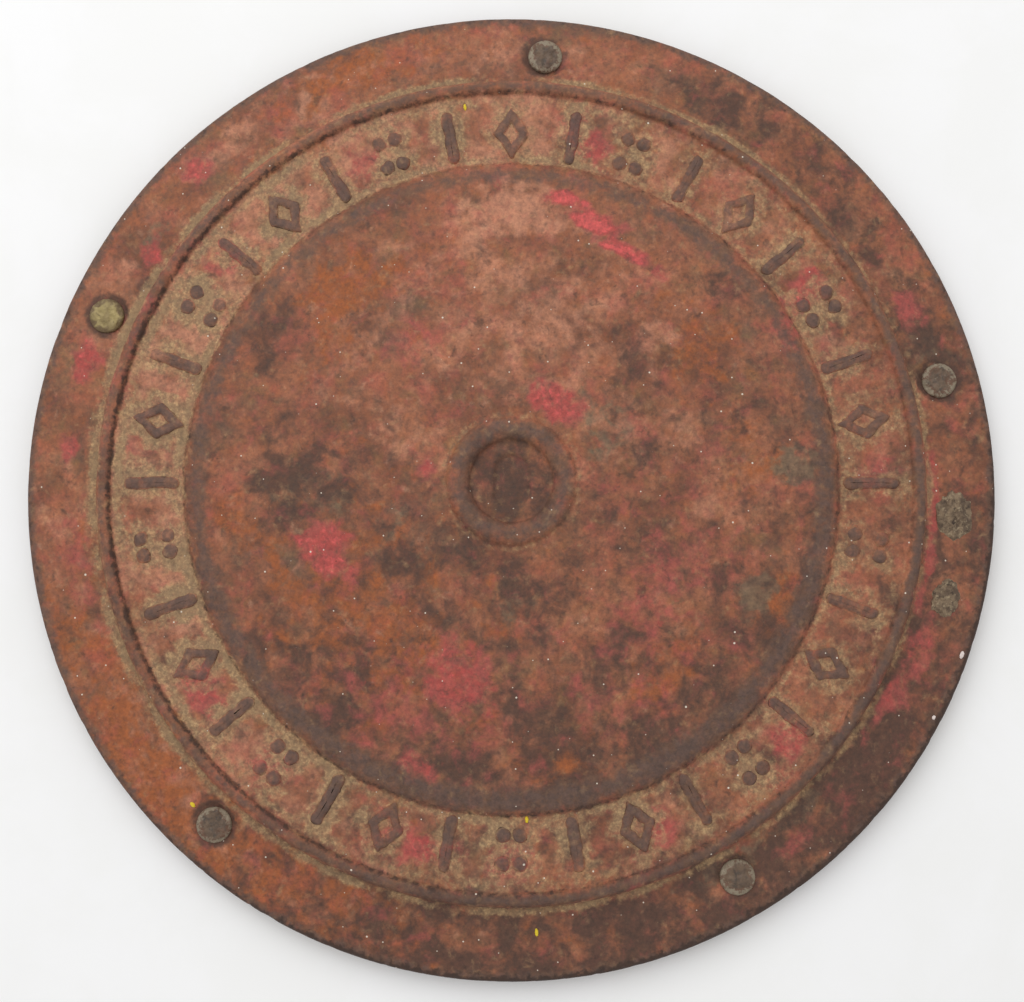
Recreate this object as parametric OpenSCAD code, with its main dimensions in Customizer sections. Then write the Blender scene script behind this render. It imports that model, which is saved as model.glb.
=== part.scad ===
// Round domed access cover: an iron casting with a bordered band of raised marks, a ring boss,
// and a packing ring held under the rim by five rivets. The cover stands on its foot at z = 0.

/* [Casting] */
// Outside diameter of the cover
cover_d = 355.6; // [340:0.1:370]
// Height of the outer edge above the foot
edge_h = 10.5; // [10:0.1:12]
// Rounding of the top outer edge
edge_round = 2.5; // [1:0.1:3]
// How far the rim climbs from its edge to the bead
rim_rise = 3; // [2:0.1:3.5]
// Width of the rim, from the edge to the bead
rim_w = 26.8; // [25:0.1:28]
// Wall thickness of the domed part
wall_t = 7; // [6:0.1:8]

/* [Band and bead] */
// Width of the raised bead outside the band
bead_w = 5.8; // [4:0.1:7]
// Height of the bead above the band's floor
bead_h = 2.2; // [1:0.1:3]
// Width of the band that holds the raised marks
band_w = 26.3; // [25:0.1:28]
// Height of the band's floor above the foot
band_z = 16.5; // [16:0.1:18]

/* [Panel] */
// Width of the rounded shoulder between the band and the panel
shoulder_w = 12; // [8:0.5:16]
// How far the panel's edge stands above the band
shoulder_h = 4; // [3:0.1:6]
// How far the panel's middle stands above its edge
dome_h = 4; // [2:0.1:6]

/* [Raised marks] */
// Number of raised marks round the band
mark_count = 36; // [24:4:40]
// Length of a mark along the cover's radius
mark_len = 20.3; // [16:0.1:22]
// Width of a lozenge or a group of studs, round the band
mark_w = 14; // [12:0.1:15]
// Width of a raised rib
rib_w = 4.6; // [3:0.1:5]
// Gap between the marks and the shoulder
mark_gap = 1.2; // [0.8:0.1:2]
// Height of the marks above the band's floor
mark_h = 1.5; // [0.8:0.1:2]

/* [Boss] */
// Outside diameter of the ring boss
boss_d = 46.8; // [44:0.1:56]
// Width of the boss's rounded ring
boss_ring_w = 8.7; // [7:0.1:10]
// Height of the ring above the panel's middle
boss_h = 2.2; // [1:0.1:3]
// Length of the oblong dimple in the boss
dimple_len = 21; // [16:0.5:24]
// Width of the oblong dimple in the boss
dimple_w = 14; // [8:0.5:16]
// Depth of the dimple and of the boss's sunk middle
dimple_deep = 1.2; // [0.5:0.1:2]

/* [Underside] */
// Thickness of the downturned lip round the rim
lip_t = 6; // [5:0.1:7]
// Height of the space inside the lip
lip_deep = 6; // [5.6:0.1:6.2]
// Width of the stiffening ribs
stiffener_w = 7; // [5:0.5:9]
// Diameter of the pad where the ribs meet
pad_d = 52; // [40:1:60]

/* [Packing and rivets] */
// Thickness of the packing ring
packing_t = 3.5; // [3:0.1:3.6]
// Width of the packing ring
packing_w = 20.8; // [18:0.1:21]
// Distance of the rivets from the cover's centre
rivet_ring_r = 162.1; // [160.5:0.1:163.5]
// Diameter of a rivet's head
head_d = 13; // [12:0.1:14]
// Thickness of a rivet's head
head_t = 1.9; // [1.5:0.1:2.5]
// Diameter of a rivet's shank
shank_d = 6.8; // [6:0.1:7.5]
// Diameter of the burr, the washer under a rivet's tail
burr_d = 12.6; // [11:0.1:13]
// Thickness of the burr
burr_t = 1.1; // [0.8:0.1:1.2]

/* [Hidden] */
$fn = 96;

// Clockwise bearings of the rivets from +Y. They were drilled by eye, about a fifth of a turn apart
rivet_bearings = [4.5, 76.3, 150.2, 221, 292.7];
rivet_count = len(rivet_bearings);
stiffener_count = 5;
stiffener_turn = 41;
gap = 0.1;
arc_step = 10;

// Radii of the casting's rings
cover_r = cover_d / 2;
bead_out_r = cover_r - rim_w;
bead_mid_r = bead_out_r - bead_w / 2;
band_out_r = bead_out_r - bead_w;
band_in_r = band_out_r - band_w;
panel_r = band_in_r - shoulder_w;
mark_mid_r = band_in_r + mark_gap + mark_len / 2;
lip_r = cover_r - lip_t;
boss_r = boss_d / 2;
boss_mid_r = boss_r - boss_ring_w / 2;

// Heights of the casting's surfaces
rim_in_z = edge_h + rim_rise;
bead_z = band_z + bead_h;
panel_z = band_z + shoulder_h;
boss_z = panel_z + dome_h + boss_h;
sunk_z = panel_z + dome_h - dimple_deep;
band_under_z = band_z - wall_t;
stiffener_z = band_under_z + 0.3;
pad_proud = 0.5;
foot_chamfer = 0.6;
step_w = 5;

// Heights of the rivets' parts
spot_d = head_d + 2.4;
spot_z = edge_h + 0.7;
packing_z = lip_deep - packing_t;
burr_z = packing_z - burr_t;
tail_d = 8.6;
tail_z = 0.4;
packing_out_r = lip_r - 0.5;
packing_in_r = packing_out_r - packing_w;

// Clockwise bearing of a rivet from +Y
function rivet_bearing(index) = rivet_bearings[index - 1];

// Height of the domed panel at a radius
function dome_z(r) = panel_z + dome_h * (1 - pow(r / panel_r, 2));

// Points of the rounded outer edge, from the wall to the rim's top
function edge_arc() = [for (a = [0 : arc_step : 90])
    [cover_r - edge_round * (1 - cos(a)), edge_h - edge_round * (1 - sin(a))]];

// Points over the bead, from its outer foot to the band's floor
function bead_arc() = [for (a = [0 : arc_step : 180])
    let (base = a < 90 ? rim_in_z : band_z)
    [bead_mid_r + bead_w / 2 * cos(a), base + (bead_z - base) * sin(a)]];

// Points up the shoulder, from the band's floor to the panel's edge
function shoulder_arc() = [for (a = [0 : arc_step : 90])
    [panel_r + shoulder_w * cos(a), band_z + shoulder_h * sin(a)]];

// Points over the dome, from just inside the shoulder to the boss
function dome_arc() = [for (k = [1 : 7])
    let (r = panel_r + (boss_r - panel_r) * k / 7)
    [r, dome_z(r)]];

// Points over the ring boss, from its outer foot to its sunk middle
function boss_arc() = [for (a = [arc_step : arc_step : 180])
    let (base = a < 90 ? dome_z(boss_r) : sunk_z)
    [boss_mid_r + boss_ring_w / 2 * cos(a), base + (boss_z - base) * sin(a)]];

// Points under the dome, from the middle out to the shoulder
function dome_under_arc() = [for (k = [0 : 6])
    let (r = (panel_r - wall_t / 2) * k / 6)
    [r, dome_z(r) - wall_t]];

// Outline of the casting's section, to the right of its axis
function casting_outline() = concat(
    [[0, sunk_z]],
    dome_under_arc(),
    [[band_in_r - wall_t / 2, band_under_z],
     [packing_in_r - step_w, band_under_z],
     [packing_in_r - 1, lip_deep],
     [lip_r, lip_deep],
     [lip_r, foot_chamfer],
     [lip_r + foot_chamfer, 0],
     [cover_r - foot_chamfer, 0],
     [cover_r, foot_chamfer]],
    edge_arc(),
    bead_arc(),
    shoulder_arc(),
    dome_arc(),
    boss_arc());

// Places its children at a clockwise bearing from +Y, at a distance from the axis
module at_bearing(bearing, r) {
    rotate([0, 0, -bearing]) translate([0, r, 0]) children();
}

// A rib with round ends, along Y
module rib_outline(len, w) {
    square([w, len - w], center = true);
    for (end = [-1, 1]) translate([0, end * (len - w) / 2]) circle(d = w);
}

// A lozenge frame, with its long axis along Y
module lozenge_outline(len, w, rib) {
    slope = norm([len, w]);
    inner_len = len - rib * slope / w;
    inner_w = w - rib * slope / len;
    difference() {
        polygon([[w / 2, 0], [0, len / 2], [-w / 2, 0], [0, -len / 2]]);
        polygon([[inner_w / 2, 0], [0, inner_len / 2], [-inner_w / 2, 0], [0, -inner_len / 2]]);
    }
}

// Four round studs in a block
module stud_outline(len, w, d) {
    for (side = [-1, 1], end = [-1, 1])
        translate([side * (w - d) / 2, end * (len - d) / 3]) circle(d = d);
}

// One mark of the band: a lozenge, a rib, a block of studs, then a rib, and so on round
module mark(index) {
    kind = index % 4;
    if (kind == 0) lozenge_outline(mark_len, mark_w, rib_w * 0.8);
    if (kind == 1 || kind == 3) rib_outline(mark_len, rib_w);
    if (kind == 2) stud_outline(mark_len, mark_w * 0.85, rib_w * 1.25);
}

module raised_marks() {
    for (i = [0 : mark_count - 1])
        at_bearing(i * 360 / mark_count, mark_mid_r)
            translate([0, 0, band_z - 1])
                linear_extrude(mark_h + 1) mark(i);
}

// Ribs, and a pad that stands a little proud of them, up into the dome's wall
module stiffeners() {
    stiffener_h = panel_z + dome_h - wall_t + 1 - stiffener_z;
    for (i = [0 : stiffener_count - 1])
        at_bearing(stiffener_turn + i * 360 / stiffener_count, 5)
            translate([-stiffener_w / 2, 0, stiffener_z])
                cube([stiffener_w, band_in_r - 8, stiffener_h]);
    translate([0, 0, stiffener_z - pad_proud]) cylinder(d = pad_d, h = stiffener_h);
}

// The iron casting
module cover_plate() {
    color("#7c4a3c") difference() {
        union() {
            rotate_extrude() polygon(casting_outline());
            raised_marks();
            stiffeners();
        }
        translate([0, 0, sunk_z - dimple_deep])
            linear_extrude(dimple_deep + boss_h + 1) rib_outline(dimple_len, dimple_w);
        for (i = [1 : rivet_count]) at_bearing(rivet_bearing(i), rivet_ring_r) {
            cylinder(d = shank_d + 2 * gap, h = edge_h + rim_rise + 1);
            translate([0, 0, spot_z]) cylinder(d = spot_d, h = rim_rise + 2);
        }
    }
}

// The flat packing ring, punched for the rivets
module packing_ring() {
    color("#3b2c22") translate([0, 0, packing_z]) difference() {
        cylinder(r = packing_out_r, h = packing_t);
        translate([0, 0, -1]) cylinder(r = packing_in_r, h = packing_t + 2);
        for (i = [1 : rivet_count]) at_bearing(rivet_bearing(i), rivet_ring_r)
            translate([0, 0, -1]) cylinder(d = shank_d + 2 * gap, h = packing_t + 2);
    }
}

// A rivet: low round-edged head, shank, and the tail hammered over the burr
module rivet(index, tint) {
    head_r = head_d / 2;
    shank_r = shank_d / 2;
    tail_r = tail_d / 2;
    head_z = spot_z + head_t;
    color(tint) at_bearing(rivet_bearing(index), rivet_ring_r)
        rotate_extrude() polygon([
            [0, tail_z],
            [tail_r - 1, tail_z],
            [tail_r, burr_z],
            [shank_r, burr_z],
            [shank_r, spot_z],
            [head_r, spot_z],
            [head_r, head_z - 0.9],
            [head_r - 0.4, head_z - 0.4],
            [head_r - 1.4, head_z - 0.1],
            [0, head_z]]);
}

// The washer that a rivet's tail is hammered over
module burr(index, tint) {
    color(tint) at_bearing(rivet_bearing(index), rivet_ring_r)
        translate([0, 0, burr_z]) difference() {
            cylinder(d = burr_d, h = burr_t);
            translate([0, 0, -1]) cylinder(d = shank_d + 2 * gap, h = burr_t + 2);
        }
}

cover_plate();
packing_ring();
rivet(1, "#6d5e55");  // rivet_1
rivet(2, "#6d5e55");  // rivet_2
rivet(3, "#6d5e55");  // rivet_3
rivet(4, "#6d5e55");  // rivet_4
rivet(5, "#a08c5c");  // rivet_5
burr(1, "#5c524b");  // burr_1
burr(2, "#5c524b");  // burr_2
burr(3, "#5c524b");  // burr_3
burr(4, "#5c524b");  // burr_4
burr(5, "#a08c5c");  // burr_5
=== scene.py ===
import math

import bmesh
import bpy
import numpy as np
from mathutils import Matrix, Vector, noise


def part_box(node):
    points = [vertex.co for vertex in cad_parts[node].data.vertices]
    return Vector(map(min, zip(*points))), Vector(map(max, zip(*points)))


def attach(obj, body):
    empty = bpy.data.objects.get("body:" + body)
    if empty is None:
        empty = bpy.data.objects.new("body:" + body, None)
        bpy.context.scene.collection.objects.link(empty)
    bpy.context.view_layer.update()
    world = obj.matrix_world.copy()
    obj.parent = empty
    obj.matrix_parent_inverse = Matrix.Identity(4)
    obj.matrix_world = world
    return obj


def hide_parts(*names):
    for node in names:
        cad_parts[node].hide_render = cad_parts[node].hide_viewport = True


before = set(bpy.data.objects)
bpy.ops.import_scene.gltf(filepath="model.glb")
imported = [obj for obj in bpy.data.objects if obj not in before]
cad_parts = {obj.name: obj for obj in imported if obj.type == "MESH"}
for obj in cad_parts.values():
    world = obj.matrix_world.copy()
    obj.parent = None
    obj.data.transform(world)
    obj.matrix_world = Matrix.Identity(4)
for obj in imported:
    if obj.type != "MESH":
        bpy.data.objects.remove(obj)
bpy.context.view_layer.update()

# ---------------------------------------------------------------- cover casting
# Grey iron poured in sand: a rim, a bead, a sunk band, a rounded shoulder, a domed panel with a ring
# boss, and a lip, a pad and ribs below. It was painted red once and has rusted through the paint. Its
# section is drawn once, softened as a sand mould softens each corner, and turned about the axis.

MM = 0.001
plate_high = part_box("cover_plate")[1]
packing_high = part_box("packing_ring")[1]
rivet_low, rivet_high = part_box("rivet_1")

# Radii, widths and heights, in millimetres
cover_r = plate_high.y / MM
bead_out_r = cover_r - 26.8
bead_w = 5.8
bead_mid_r = bead_out_r - bead_w / 2
band_out_r = bead_out_r - bead_w
band_in_r = band_out_r - 26.3
shoulder_w = 12.0
panel_r = band_in_r - shoulder_w
boss_r = 23.4
boss_ring_w = 8.7
boss_in_r = boss_r - boss_ring_w
lip_r = cover_r - 6.0
edge_z = 10.5
edge_round = 2.5
rim_in_z = 13.5
band_z = 16.5
bead_z = 18.7
panel_z = 20.5
dome_h = 4.0
boss_z = plate_high.z / MM
sunk_z = 23.3
wall_t = 7.0
under_z = band_z - wall_t
lip_deep = packing_high.z / MM
foot_chamfer = 0.6
packing_out_r = packing_high.y / MM
packing_in_r = packing_out_r - 20.8
corner_round = 0.45

# The rivets' places, and the flats that are milled for their heads
rivet_places = []
for index in range(1, 6):
    low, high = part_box(f"rivet_{index}")
    rivet_places.append(((low.x + high.x) / 2 / MM, (low.y + high.y) / 2 / MM))
head_r = (rivet_high.x - rivet_low.x) / 2 / MM
spot_r = head_r + 1.2
spot_z = rivet_high.z / MM - 1.9


def dome_z(r):
    """Height of the domed panel at a radius."""
    return panel_z + dome_h * (1 - (r / panel_r) ** 2)


def hump(middle_r, width, in_z, out_z, top_z):
    """Points over a rounded ring, from its inner foot to its outer foot."""
    turns = np.radians(np.arange(180, -1, -10))
    feet = np.where(turns > math.pi / 2, in_z, out_z)
    across = middle_r + width / 2 * np.cos(turns)
    return np.column_stack([across, feet + (top_z - feet) * np.sin(turns)])


def plate_section():
    """The casting's section: out over the top from the axis, round the foot, and back under."""
    quarter = np.radians(np.arange(90, -1, -10))
    dome_r = np.linspace(boss_r, panel_r, 12)
    under_r = np.linspace(panel_r - wall_t / 2, 0, 12)
    shoulder = np.column_stack([panel_r + shoulder_w * np.cos(quarter), np.sin(quarter)])
    shoulder[:, 1] = band_z + (panel_z - band_z) * shoulder[:, 1]
    edge = np.column_stack([cover_r - edge_round * (1 - np.cos(quarter)), np.sin(quarter)])
    edge[:, 1] = edge_z - edge_round * (1 - edge[:, 1])
    foot = [
        [cover_r, foot_chamfer],
        [cover_r - foot_chamfer, 0],
        [lip_r + foot_chamfer, 0],
        [lip_r, foot_chamfer],
        [lip_r, lip_deep],
        [packing_in_r - 1, lip_deep],
        [packing_in_r - 5, under_z],
        [band_in_r - wall_t / 2, under_z],
    ]
    return np.vstack(
        [
            [[0, sunk_z]],
            hump(boss_r - boss_ring_w / 2, boss_ring_w, sunk_z, dome_z(boss_r), boss_z),
            np.column_stack([dome_r, dome_z(dome_r)]),
            shoulder,
            hump(bead_mid_r, bead_w, band_z, rim_in_z, bead_z),
            edge,
            foot,
            np.column_stack([under_r, dome_z(under_r) - wall_t]),
        ]
    )


FINE_STEP = 0.1


def soften(section, radius):
    """The section as points FINE_STEP apart, its corners rounded to about a radius."""
    along = np.r_[0, np.cumsum(np.hypot(*np.diff(section, axis=0).T))]
    places = np.arange(0, along[-1], FINE_STEP)
    fine = np.column_stack([np.interp(places, along, section[:, k]) for k in (0, 1)])
    reach = int(3 * radius / FINE_STEP)
    weights = np.exp(-0.5 * (np.arange(-reach, reach + 1) * FINE_STEP / radius) ** 2)
    weights /= weights.sum()
    before = fine[reach:0:-1] * [-1, 1]
    after = fine[-2 : -reach - 2 : -1] * [-1, 1]
    padded = np.vstack([before, fine, after])
    return np.column_stack([np.convolve(padded[:, k], weights, "valid") for k in (0, 1)])


def stations(line, pace):
    """Points along a line, as far apart as pace says at each place."""
    counts = np.r_[0, np.cumsum(np.hypot(*np.diff(line, axis=0).T) / pace[1:])]
    wanted = np.linspace(0, counts[-1], int(counts[-1]) + 1)
    return np.column_stack([np.interp(wanted, counts, line[:, k]) for k in (0, 1)])


def grain(points, size, octaves=3, seed=0.0):
    """Smooth noise at points, mostly from -1 to 1, with lumps of a size in millimetres."""
    shift = Vector((seed * 7.3, seed * 3.1, seed * 5.7))
    found = [noise.fractal(Vector(p) / size + shift, 0.8, 2.0, octaves) for p in points.tolist()]
    return np.array(found)


def ease(low, high, value):
    """A smooth step from 0 at low to 1 at high, or down where low is the greater."""
    t = np.clip((value - low) / (high - low), 0, 1)
    return t * t * (3 - 2 * t)


def bump(middle, width, value):
    """A smooth bump of height 1 about a middle, gone at a width to each side."""
    return ease(width, 0, abs(value - middle))


def level_ring(radius, height, count):
    """A level ring of points about the axis. A ring of one point lies on the axis."""
    bearings = np.arange(count) * 2 * math.pi / count
    out = 0.0 if count == 1 else radius
    return np.column_stack([out * np.sin(bearings), out * np.cos(bearings), np.full(count, height)])


def ring_faces(n, m, a, b):
    """The faces between a ring of n points from a and one of m from b, equal or 2 to 1 in number."""
    faces = []
    for k in range(max(n, m)):
        after = (k + 1) % max(n, m)
        if n == m:
            faces.append((a + k, a + after, b + after, b + k))
        elif n == 1:
            faces.append((a, b + after, b + k))
        elif m == 1:
            faces.append((a + k, a + after, b))
        elif m == 2 * n:
            half, next_half = a + k // 2, a + (k + 1) // 2 % n
            faces.append((half, b + after, b + k))
            if k % 2:
                faces.append((a + k // 2, next_half, b + after))
        else:
            half, next_half = b + k // 2, b + (k + 1) // 2 % m
            faces.append((a + k, a + after, half))
            if k % 2:
                faces.append((a + after, next_half, half))
    return faces


def skin(rings, closed=False):
    """Points and faces of a surface through rings of points. A closed one joins up end to end."""
    counts = [len(ring) for ring in rings]
    starts = np.r_[0, np.cumsum(counts)]
    faces = []
    for k in range(len(rings) - 1):
        faces += ring_faces(counts[k], counts[k + 1], int(starts[k]), int(starts[k + 1]))
    if closed:
        faces += ring_faces(counts[-1], counts[0], int(starts[-2]), 0)
    return np.vstack(rings), faces


def make_piece(name, points, faces, replaced, attributes=None):
    """A smooth piece of the model from points in millimetres, which rides on the one body."""
    mesh = bpy.data.meshes.new(name)
    mesh.from_pydata(points * MM, [], faces)
    for key, values in (attributes or {}).items():
        layer = mesh.attributes.new(key, "FLOAT", "POINT")
        layer.data.foreach_set("value", np.asarray(values, dtype=np.float32))
    turned = bmesh.new()
    turned.from_mesh(mesh)
    bmesh.ops.recalc_face_normals(turned, faces=turned.faces)
    turned.to_mesh(mesh)
    turned.free()
    mesh.shade_smooth()
    piece = bpy.data.objects.new(name, mesh)
    bpy.context.scene.collection.objects.link(piece)
    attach(piece, "root")
    if replaced:
        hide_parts(*replaced)
    return piece


def linear(hex_colour):
    """A linear RGBA colour from an sRGB hex value."""
    parts = [int(hex_colour[k : k + 2], 16) / 255 for k in (1, 3, 5)]
    return [c / 12.92 if c <= 0.04045 else ((c + 0.055) / 1.055) ** 2.4 for c in parts] + [1.0]


def add_node(tree, kind, settings=None, sockets=None):
    """Adds a node, sets its settings, and sets its input sockets or links them."""
    node = tree.nodes.new(kind)
    for name, value in (settings or {}).items():
        setattr(node, name, value)
    for key, value in (sockets or {}).items():
        if isinstance(value, bpy.types.NodeSocket):
            tree.links.new(value, node.inputs[key])
        else:
            node.inputs[key].default_value = value
    return node


def start_material(name):
    """A new material with its node tree emptied, and the place that the shader reads."""
    material = bpy.data.materials.new(name)
    material.use_nodes = True
    tree = material.node_tree
    tree.nodes.clear()
    place = add_node(tree, "ShaderNodeTexCoord").outputs["Object"]
    return material, tree, place


def lay_coats(tree, place, colour, coats):
    """Lays coats over a colour, each one broken into patches, and gives the colour they make."""
    for turn, (tint, driver, size, start, whole, strength) in enumerate(coats):
        spread = add_node(
            tree,
            "ShaderNodeTexNoise",
            {"noise_dimensions": "4D"},
            {
                "Vector": place,
                "W": 3.7 * turn + 4,
                "Scale": 1 / (size * MM),
                "Detail": 5.0,
                "Roughness": 0.6,
                "Distortion": 0.4,
            },
        ).outputs["Fac"]
        if driver:
            given = add_node(tree, "ShaderNodeAttribute", {"attribute_name": driver})
            spread = add_node(
                tree,
                "ShaderNodeMath",
                {"operation": "MULTIPLY_ADD"},
                {0: given.outputs["Fac"], 1: 0.3, 2: spread},
            ).outputs[0]
        cover = add_node(
            tree,
            "ShaderNodeMapRange",
            {"interpolation_type": "SMOOTHSTEP"},
            {"Value": spread, "From Min": start, "From Max": whole, "To Max": strength},
        ).outputs["Result"]
        colour = add_node(
            tree, "ShaderNodeMix", {"data_type": "RGBA"}, {0: cover, 6: colour, 7: linear(tint)}
        ).outputs[2]
    return colour


def raise_grains(tree, place, grains):
    """A surface of grains, each with its size and its height in millimetres: its normal."""
    height = 0.0
    for turn, (size, high) in enumerate(grains):
        grit = add_node(
            tree,
            "ShaderNodeTexNoise",
            {"noise_dimensions": "4D"},
            {"Vector": place, "W": 1.9 * turn + 60, "Scale": 1 / (size * MM), "Detail": 3.0},
        )
        height = add_node(
            tree,
            "ShaderNodeMath",
            {"operation": "MULTIPLY_ADD"},
            {0: grit.outputs["Fac"], 1: high, 2: height},
        ).outputs[0]
    return add_node(tree, "ShaderNodeBump", None, {"Height": height, "Distance": MM}).outputs["Normal"]


# Old red paint over rusted cast iron. Cast iron's skin is pebbled by the sand. The paint is chalky and
# broken, so rust, grime and earth show through in patches of every size from 1 mm to 30 mm. Some coats
# also carry painted light on the band's upper left, and painted shade on the cover's lower side, in
# the creases and along the outer edge.
# Each coat: its colour, the mesh's number that drives it, its patches' size in millimetres, the values
# at which it starts and is whole, and its strength.
IRON_COATS = [
    ("#9d654a", None, 30.0, 0.35, 0.65, 1.0),
    ("#8d563c", None, 7.0, 0.40, 0.66, 1.0),
    ("#613f30", None, 26.0, 0.46, 0.70, 0.8),
    ("#5f5042", None, 17.0, 0.50, 0.72, 0.65),
    ("#7d6240", None, 9.0, 0.50, 0.74, 0.5),
    # Paler paint in patches, and on the band's upper left also painted light from the window side
    ("#b87f64", "pale", 11.0, 0.56, 0.86, 0.85),
    ("#93532f", "orange", 8.0, 0.56, 0.80, 0.9),
    ("#a05446", None, 12.0, 0.48, 0.72, 0.6),
    ("#b98c70", None, 5.0, 0.57, 0.78, 0.5),
    ("#6b5f4c", "grey", 5.0, 0.60, 0.86, 0.75),
    # Dark rust in patches, round the rivets and on the marks' tops, the darker boss, and painted shade
    # on the cover's lower side, its shoulder and its bead
    ("#4f3a31", "dark", 9.0, 0.55, 0.80, 0.9),
    ("#a2504a", "red", 7.0, 0.52, 0.86, 0.8),
    ("#a04540", "red", 3.4, 0.68, 0.94, 0.75),
    ("#cb5956", "red", 2.2, 0.84, 1.06, 0.75),
    ("#66453a", None, 2.4, 0.54, 0.70, 0.45),
    ("#46352d", None, 4.2, 0.57, 0.72, 0.6),
    ("#3d2d26", None, 1.5, 0.63, 0.74, 0.5),
    # Worn metal where the paint is rubbed off what stands proud, and on the shoulder's lower side also
    # painted shade
    ("#6a4f3f", "proud", 5.0, 0.54, 0.82, 0.75),
    ("#594843", "proud", 2.8, 0.60, 0.90, 0.65),
    ("#a68560", "dirt", 4.0, 0.54, 0.88, 0.7),
    ("#bd9f74", "dirt", 1.8, 0.64, 0.94, 0.6),
    ("#6d5643", "dirt", 1.0, 0.62, 0.84, 0.55),
    # Painted shade in the creases by the bead and the shoulder and along the outer edge, and painted
    # shade with collected rust on the marks' flanks
    ("#3b2b24", "crease_shade_and_rust", 2.6, 0.62, 0.88, 0.88),
]
# The bare underside: brown rust, with paler bloom and black scale on it
BARE_COATS = [
    ("#6a4a3a", None, 8.0, 0.40, 0.60, 1.0),
    ("#7d4f34", None, 3.0, 0.52, 0.70, 0.7),
    ("#33261f", None, 1.5, 0.58, 0.74, 0.6),
]


def painted_iron():
    """Old red paint on rusted cast iron: chalky and dull, with hardly a shine anywhere."""
    material, tree, place = start_material("old_red_paint_on_rusted_cast_iron")
    colour = lay_coats(tree, place, linear("#784c39"), IRON_COATS)

    # Grime in the skin's pits, about 1.6 mm across, darkens and lightens all of it
    pebbles = add_node(
        tree,
        "ShaderNodeTexNoise",
        {"noise_dimensions": "4D"},
        {"Vector": place, "W": 2.5, "Scale": 1 / (1.6 * MM), "Detail": 3.0, "Roughness": 0.6},
    ).outputs["Fac"]
    grime = add_node(
        tree,
        "ShaderNodeMapRange",
        None,
        {"Value": pebbles, "From Min": 0.3, "From Max": 0.7, "To Min": 0.68, "To Max": 1.3},
    ).outputs["Result"]
    colour = add_node(
        tree,
        "ShaderNodeMix",
        {"data_type": "RGBA", "blend_type": "MULTIPLY"},
        {0: 1.0, 6: colour, 7: grime},
    ).outputs[2]

    # Chips of old whitewash, up to 1 mm across, each in the middle of a cell about 5 mm wide
    cells = add_node(tree, "ShaderNodeTexVoronoi", None, {"Vector": place, "Scale": 1 / (5 * MM)})
    uneven = add_node(
        tree,
        "ShaderNodeTexNoise",
        {"noise_dimensions": "4D"},
        {"Vector": place, "W": 70.5, "Scale": 1 / (3 * MM), "Detail": 4.0},
    ).outputs["Fac"]
    reach = add_node(
        tree,
        "ShaderNodeMath",
        {"operation": "MULTIPLY_ADD"},
        {0: uneven, 1: 0.2, 2: cells.outputs["Distance"]},
    ).outputs[0]
    chip = add_node(
        tree,
        "ShaderNodeMapRange",
        None,
        {"Value": reach, "From Min": 0.158, "From Max": 0.130, "To Max": 0.9},
    ).outputs["Result"]
    colour = add_node(
        tree, "ShaderNodeMix", {"data_type": "RGBA"}, {0: chip, 6: colour, 7: linear("#d9cdbd")}
    ).outputs[2]

    # The underside was never painted, and is an even dark rust
    bare = lay_coats(tree, place, linear("#4a3730"), BARE_COATS)
    under = add_node(tree, "ShaderNodeAttribute", {"attribute_name": "under"}).outputs["Fac"]
    colour = add_node(
        tree, "ShaderNodeMix", {"data_type": "RGBA"}, {0: under, 6: colour, 7: bare}
    ).outputs[2]

    roughness = add_node(
        tree,
        "ShaderNodeMapRange",
        None,
        {"Value": pebbles, "From Min": 0.35, "From Max": 0.65, "To Min": 0.62, "To Max": 0.92},
    ).outputs["Result"]
    normal = raise_grains(tree, place, [(7.0, 0.7), (1.6, 0.34), (0.8, 0.1)])
    shader = add_node(
        tree,
        "ShaderNodeBsdfPrincipled",
        None,
        {"Base Color": colour, "Roughness": roughness, "Specular IOR Level": 0.35, "Normal": normal},
    )
    add_node(tree, "ShaderNodeOutputMaterial", None, {"Surface": shader.outputs["BSDF"]})
    return material


# How far apart the rings of the mesh are, in millimetres: closest over the bead and the outer edge,
# and wide on the plain underside. Each row: the radius outside which it holds, and the spacing.
TOP_SPACING = [
    (boss_r + 2.5, 2.4),
    (panel_r - 2, 1.2),
    (band_in_r + 2, 1.0),
    (band_out_r - 2, 0.6),
    (bead_out_r + 2, 1.25),
    (cover_r - 4, 0.75),
]
at_edge_r = cover_r - 0.15
section = soften(plate_section(), corner_round)
on_top = np.arange(len(section)) < int(np.argmax(section[:, 0] > at_edge_r))
r = section[:, 0]
pace = np.full(len(section), 5.0)
pace[on_top & (r < boss_in_r)] = 0.9
pace[on_top & (abs(r - boss_r + boss_ring_w / 2) < 7)] = 0.8
for beyond, spacing in TOP_SPACING:
    pace[on_top & (r > beyond)] = spacing
pace[~on_top & (r > lip_r - 3)] = 1.2
pace = np.convolve(np.pad(pace, 10, mode="edge"), np.ones(21) / 21, "valid")
profile = stations(section, pace)
outermost = int(np.argmax(profile[:, 0] > at_edge_r))

# A ring holds FULL_TURN points in the band and on the rim, half as many on the panel and underside,
# and a quarter at the boss
FULL_TURN = 736
rings = []
sides = []
for k, (radius, height) in enumerate(profile):
    top = k <= outermost
    count = FULL_TURN if top and radius > panel_r + 3 or radius > cover_r - 1 else FULL_TURN // 2
    count = FULL_TURN // 4 if radius < boss_r + 4 else count
    count = 1 if k in (0, len(profile) - 1) else count
    rings.append(level_ring(radius, height, count))
    sides.append(np.full(count, top))
points, faces = skin(rings)
top_side = np.concatenate(sides)
r = np.hypot(points[:, 0], points[:, 1])

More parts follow.
